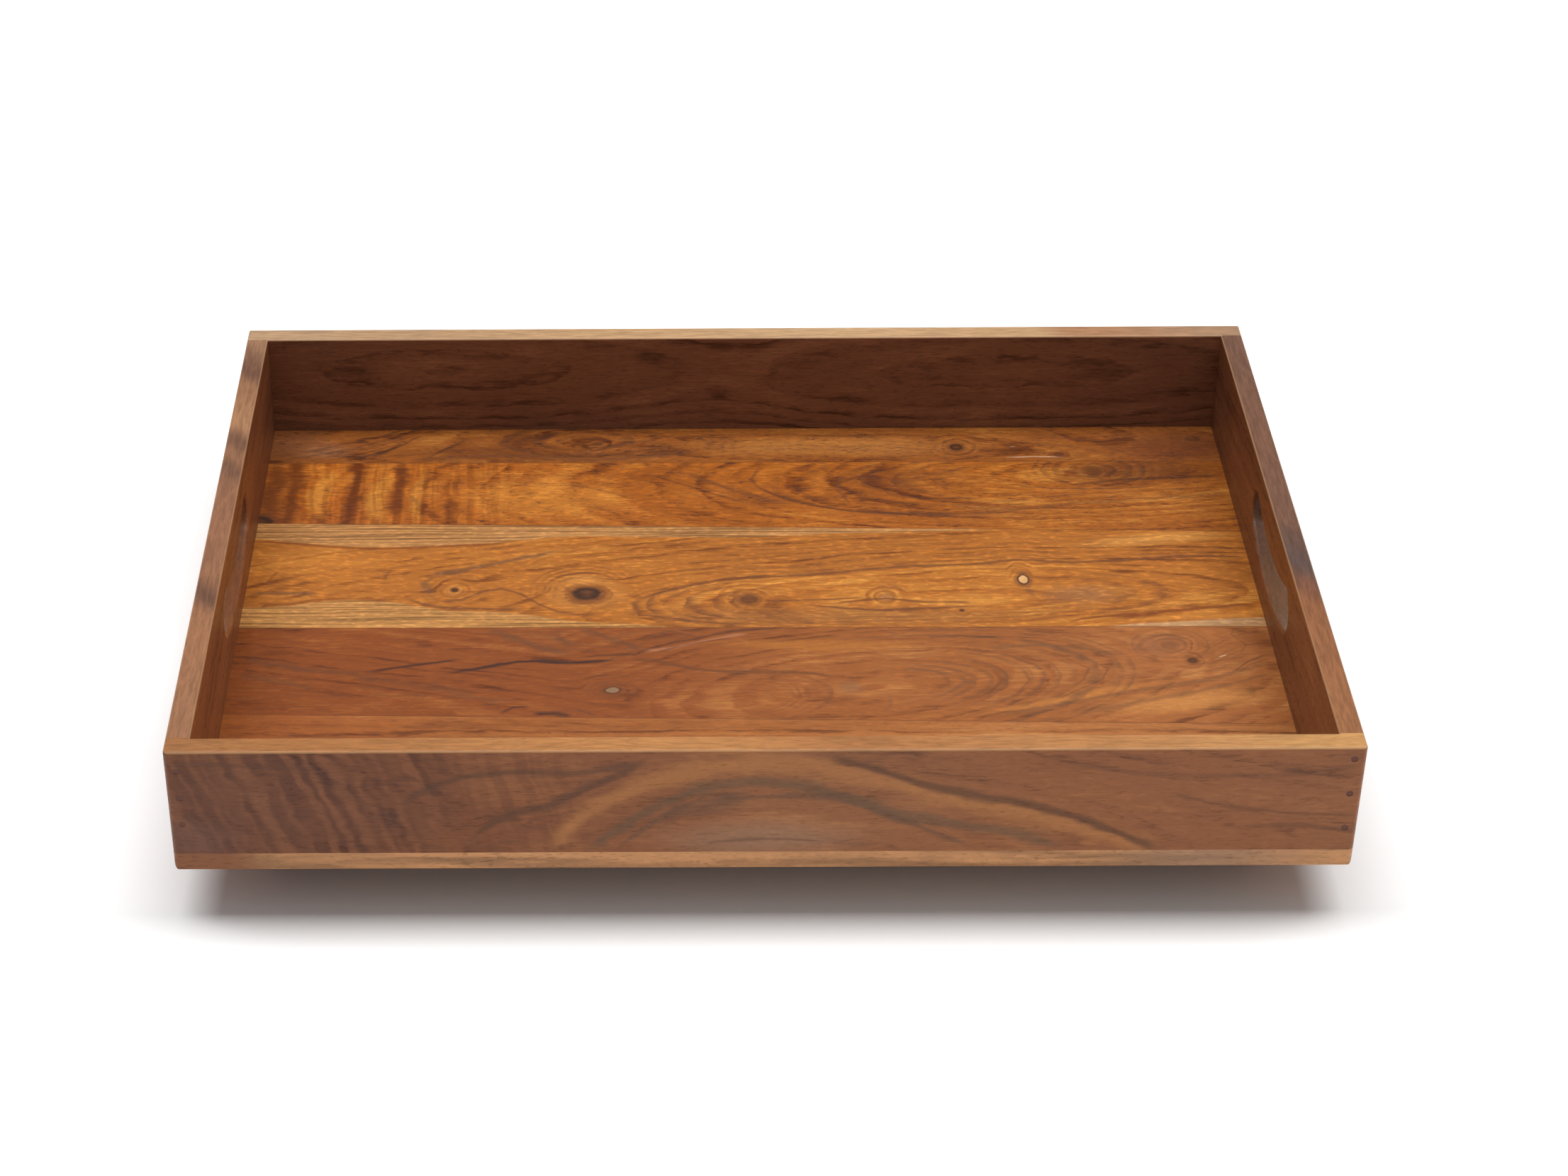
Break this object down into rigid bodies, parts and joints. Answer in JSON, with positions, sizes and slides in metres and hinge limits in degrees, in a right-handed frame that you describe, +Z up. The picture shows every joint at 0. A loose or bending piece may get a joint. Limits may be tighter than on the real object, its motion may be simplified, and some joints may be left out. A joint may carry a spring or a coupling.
{
  "type": "serving tray",
  "caption": "Rectangular wooden serving tray with straight walls, an edge-glued base panel and a curved hand slot in each end.",
  "frame": {"origin": "centre of the tray's flat underside", "axes": "+X along the tray's length towards the right end board, +Y from the front rail to the back rail, +Z up"},
  "size_m": [0.43, 0.305, 0.054],
  "materials": {
    "front_rail_wood": "oiled acacia, satin",
    "back_rail_wood": "oiled acacia, satin",
    "left_end_wood": "oiled acacia, satin",
    "right_end_wood": "oiled acacia, satin",
    "board_1_wood": "oiled acacia, satin",
    "board_2_wood": "oiled acacia, satin",
    "board_3_wood": "oiled acacia, satin",
    "board_4_wood": "oiled acacia, satin",
    "board_5_wood": "oiled acacia, satin",
    "brad_steel": "bright drawn wire",
    "wood_filler": "matt dark wood putty"
  },
  "bodies": {
    "root": {"front_rail": "front_rail_wood", "back_rail": "back_rail_wood", "left_end": "left_end_wood", "right_end": "right_end_wood", "base_board_1": "board_1_wood", "base_board_2": "board_2_wood", "base_board_3": "board_3_wood", "base_board_4": "board_4_wood", "base_board_5": "board_5_wood", "corner_brads_front_left": "brad_steel", "corner_brads_front_right": "brad_steel", "corner_brads_back_left": "brad_steel", "corner_brads_back_right": "brad_steel", "base_brads_front": "brad_steel", "base_brads_back": "brad_steel", "base_brads_left": "brad_steel", "base_brads_right": "brad_steel", "corner_fillers_front_left": "wood_filler", "corner_fillers_front_right": "wood_filler", "corner_fillers_back_left": "wood_filler", "corner_fillers_back_right": "wood_filler", "base_fillers_front": "wood_filler", "base_fillers_back": "wood_filler", "base_fillers_left": "wood_filler", "base_fillers_right": "wood_filler"}
  },
  "joints": []
}
